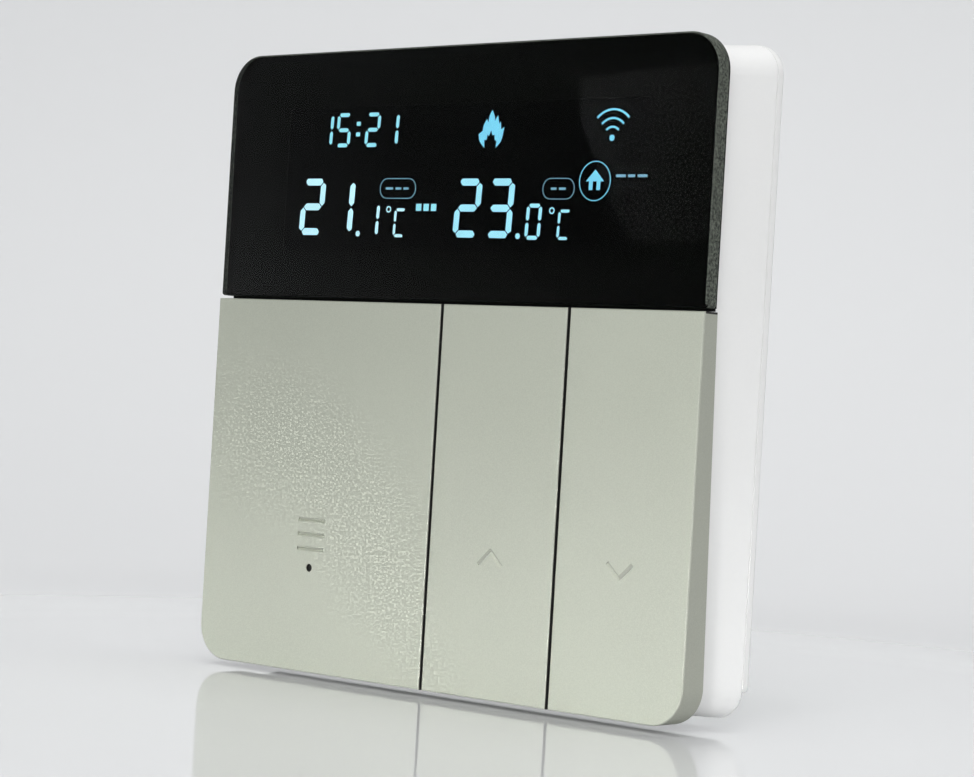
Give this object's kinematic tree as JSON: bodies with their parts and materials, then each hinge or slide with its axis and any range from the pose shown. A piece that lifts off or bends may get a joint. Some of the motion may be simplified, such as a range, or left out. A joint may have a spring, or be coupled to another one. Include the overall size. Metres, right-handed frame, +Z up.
{
  "type": "wall thermostat",
  "caption": "Flush wall thermostat: glass-fronted lit display over a wide mode key and up and down keys, white housing, rear power unit with screw terminals that sits in the wall box.",
  "frame": {"origin": "midway between the two fixing screw slots, on the wall plane (the back of the flange)", "axes": "-Y out of the wall towards the user, +Z up, +X to the user's right"},
  "size_m": [0.086, 0.0388, 0.086],
  "materials": {
    "clear_glass": "polished face, ground edges",
    "black_ink": "printed on the back of the glass",
    "black_foam": "foam tape",
    "white_housing": "fine satin texture",
    "key_paint": "satin champagne paint with a fine metallic grain",
    "black_plastic": "moulded",
    "steel": "zinc plated",
    "display_glass": "negative display, lit segments",
    "white_film": "white film and moulding",
    "light_guide": "clear acrylic",
    "led": "white package",
    "tinned_pin": "tinned",
    "circuit_board": "green solder mask",
    "module_board": "blue solder mask",
    "plunger_plastic": "moulded",
    "chip_plastic": "moulded package",
    "sensor_epoxy": "epoxy bead",
    "brass": "plain",
    "relay_blue": "moulded",
    "copper_coil": "enamelled copper wire",
    "soft_iron": "plated soft iron",
    "ferrite": "sintered",
    "winding_tape": "yellow tape",
    "capacitor_sleeve": "sleeved can",
    "film_yellow": "moulded box",
    "varistor_blue": "epoxy coat",
    "fuse_body": "coated",
    "terminal_green": "moulded"
  },
  "bodies": {
    "root": {"backlight_diffuser": "white_film", "backlight_guide": "light_guide", "backlight_leds": "led", "backlight_reflector": "white_film", "base_housing": "white_housing", "board_screws": "steel", "board_socket": "black_plastic", "carrier_screws": "steel", "control_chip": "chip_plastic", "cover_screws": "steel", "film_capacitor": "film_yellow", "filter_capacitors": "capacitor_sleeve", "front_housing": "white_housing", "fuse": "fuse_body", "glass_ink_mask": "black_ink", "glass_panel": "clear_glass", "header_base": "black_plastic", "header_pins": "brass", "insulating_cover": "black_plastic", "key_carrier": "black_plastic", "lcd_cell": "display_glass", "lcd_holder": "white_film", "lcd_pins": "tinned_pin", "main_board": "circuit_board", "panel_adhesive": "black_foam", "power_board": "circuit_board", "relay_base": "black_plastic", "relay_case": "relay_blue", "relay_coil": "copper_coil", "relay_contacts": "brass", "relay_yoke": "soft_iron", "switch_bodies": "black_plastic", "switch_covers": "steel", "switch_dome_down": "steel", "switch_dome_mode": "steel", "switch_dome_up": "steel", "temperature_sensor": "sensor_epoxy", "terminal_block": "terminal_green", "terminal_clamps": "brass", "terminal_screws": "steel", "transformer_core": "ferrite", "transformer_winding": "winding_tape", "varistor": "varistor_blue", "wifi_module": "module_board", "wifi_shield": "steel"},
    "key_mode": {"key_mode": "key_paint"},
    "key_up": {"key_up": "key_paint"},
    "key_down": {"key_down": "key_paint"},
    "plunger_mode": {"switch_plunger_mode": "plunger_plastic"},
    "plunger_up": {"switch_plunger_up": "plunger_plastic"},
    "plunger_down": {"switch_plunger_down": "plunger_plastic"},
    "relay_armature": {"relay_armature": "soft_iron"}
  },
  "joints": [
    {"name": "key_mode_press", "type": "hinge", "parent": "root", "child": "key_mode", "pos_m": [-0.02168, -0.0104, 0.0055], "axis": [1, 0, 0], "range_deg": [0, 0.7], "stiffness_Nm_per_rad": 1.5, "springref_deg": -1.15},
    {"name": "key_up_press", "type": "hinge", "parent": "root", "child": "key_up", "pos_m": [0.01073, -0.0104, 0.0055], "axis": [1, 0, 0], "range_deg": [0, 0.7], "stiffness_Nm_per_rad": 1.5, "springref_deg": -1.15},
    {"name": "key_down_press", "type": "hinge", "parent": "root", "child": "key_down", "pos_m": [0.03241, -0.0104, 0.0055], "axis": [1, 0, 0], "range_deg": [0, 0.7], "stiffness_Nm_per_rad": 1.5, "springref_deg": -1.15},
    {"name": "plunger_mode_travel", "type": "slide", "parent": "root", "child": "plunger_mode", "axis": [0, 1, 0], "range_m": [0, 0.0004], "deforming": ["switch_dome_mode"]},
    {"name": "plunger_up_travel", "type": "slide", "parent": "root", "child": "plunger_up", "axis": [0, 1, 0], "range_m": [0, 0.0004], "deforming": ["switch_dome_up"]},
    {"name": "plunger_down_travel", "type": "slide", "parent": "root", "child": "plunger_down", "axis": [0, 1, 0], "range_m": [0, 0.0004], "deforming": ["switch_dome_down"]},
    {"name": "relay_armature_swing", "type": "hinge", "parent": "root", "child": "relay_armature", "pos_m": [0.0071, 0.0189, 0.01515], "axis": [0, 0, -1], "range_deg": [0, 5], "stiffness_Nm_per_rad": 0.02, "springref_deg": -5.73}
  ],
  "couplings": [
    {"joint": "plunger_mode_travel", "follows": "key_mode_press", "m_per_rad": 0.0295},
    {"joint": "plunger_up_travel", "follows": "key_up_press", "m_per_rad": 0.0295},
    {"joint": "plunger_down_travel", "follows": "key_down_press", "m_per_rad": 0.0295}
  ]
}
